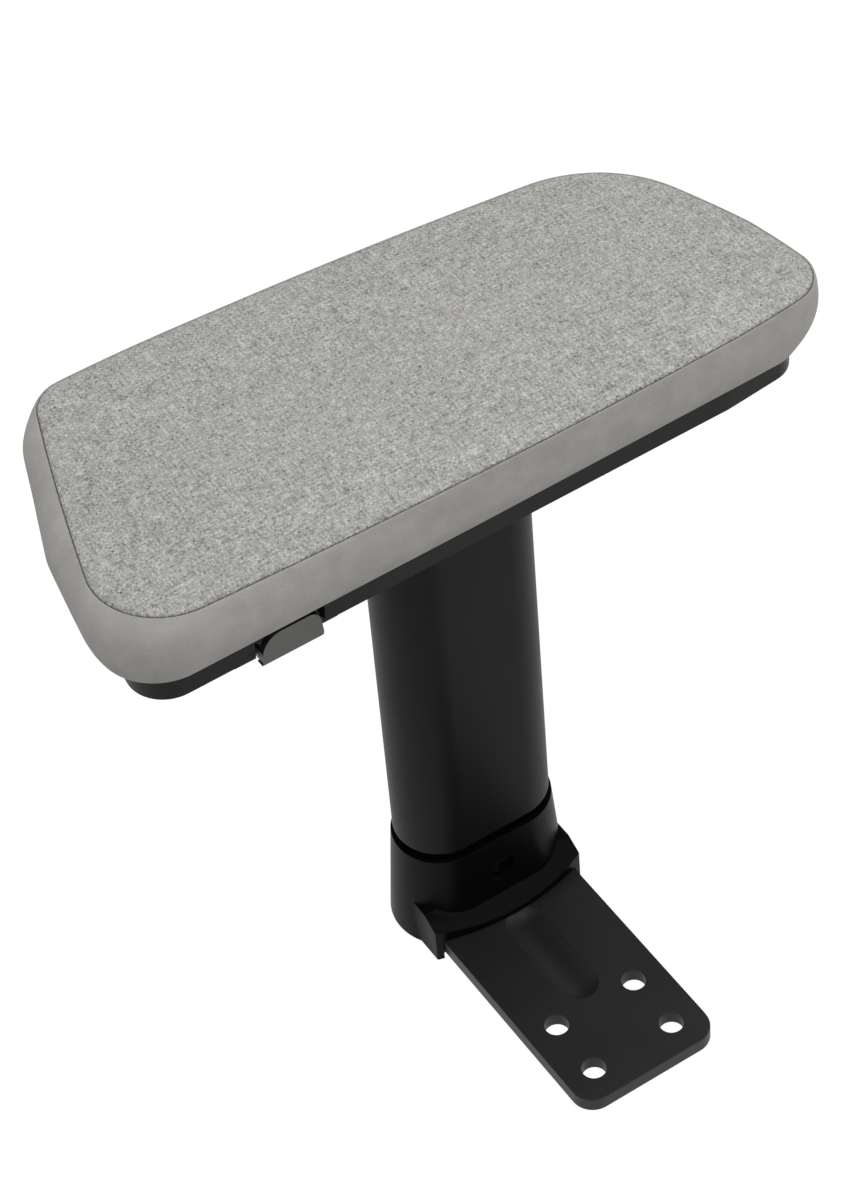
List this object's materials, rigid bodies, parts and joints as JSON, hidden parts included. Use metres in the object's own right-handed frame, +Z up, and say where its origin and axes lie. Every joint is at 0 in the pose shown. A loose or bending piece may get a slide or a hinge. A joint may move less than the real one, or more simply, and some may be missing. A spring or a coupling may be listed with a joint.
{
  "type": "chair armrest pad",
  "caption": "Height-adjustable office chair armrest: padded fabric cushion on a sliding post with release paddle and bolt-on steel bar.",
  "frame": {"origin": "middle of the seat bolt pattern, on the top face of the steel bar", "axes": "+X forward along the arm, +Y inboard towards the seat, +Z up; right-hand arm of the chair"},
  "size_m": [0.2579, 0.1708, 0.2596],
  "materials": {
    "bracket": "satin",
    "base_cover": "matte",
    "bottom_cap": "matte",
    "cover_screw": "blackened",
    "stop_bumper": "matte",
    "stop_screw": "zinc plated",
    "outer_sleeve": "satin",
    "lower_guide": "matte",
    "latch_housing": "matte",
    "sleeve_head": "cast",
    "sleeve_screws": "blackened",
    "arm_plate": "rolled",
    "plate_screws": "zinc plated",
    "pad_tray": "fine grain",
    "pad_screws": "blackened",
    "tee_nuts": "zinc plated",
    "pad_shell": "matte",
    "pad_foam": "foam",
    "pad_band": "soft matte",
    "pad_top": "heathered weave",
    "latch_spring": "spring steel",
    "cam_pin": "ground",
    "release_lever": "gunmetal satin",
    "lever_shaft": "ground",
    "crank_finger": "sintered",
    "set_screws": "blackened",
    "release_rod": "drawn",
    "brake_cam": "sintered"
  },
  "bodies": {
    "base": {"bracket": "bracket", "base_cover": "base_cover", "bottom_cap": "bottom_cap", "cover_screw": "cover_screw", "stop_bumper": "stop_bumper", "stop_screw": "stop_screw"},
    "carriage": {"outer_sleeve": "outer_sleeve", "lower_guide": "lower_guide", "latch_housing": "latch_housing", "sleeve_head": "sleeve_head", "sleeve_screws": "sleeve_screws", "arm_plate": "arm_plate", "plate_screws": "plate_screws", "pad_tray": "pad_tray", "pad_screws": "pad_screws", "tee_nuts": "tee_nuts", "pad_shell": "pad_shell", "pad_foam": "pad_foam", "pad_band": "pad_band", "pad_top": "pad_top", "latch_spring": "latch_spring", "cam_pin": "cam_pin"},
    "lever": {"release_lever": "release_lever", "lever_shaft": "lever_shaft", "crank_finger": "crank_finger", "set_screws": "set_screws"},
    "rod": {"release_rod": "release_rod"},
    "cam": {"brake_cam": "brake_cam"}
  },
  "joints": [
    {"name": "height_slide", "type": "slide", "parent": "base", "child": "carriage", "axis": [0, 0, 1], "range_m": [0, 0.08]},
    {"name": "lever_pull", "type": "hinge", "parent": "carriage", "child": "lever", "pos_m": [0.085, -0.068, 0.229], "axis": [1, 0, 0], "range_deg": [0, 7], "stiffness_Nm_per_rad": 2, "springref_deg": -6.88},
    {"name": "rod_slide", "type": "slide", "parent": "carriage", "child": "rod", "axis": [0, 0, -1], "range_m": [0, 0.0013], "deforming": ["latch_spring"]},
    {"name": "cam_turn", "type": "hinge", "parent": "carriage", "child": "cam", "pos_m": [0, -0.0736, 0.098], "axis": [1, 0, 0], "range_deg": [0, 20.5]}
  ],
  "couplings": [
    {"joint": "rod_slide", "follows": "lever_pull", "m_per_rad": 0.0098},
    {"joint": "cam_turn", "follows": "lever_pull", "ratio": 2.8}
  ]
}
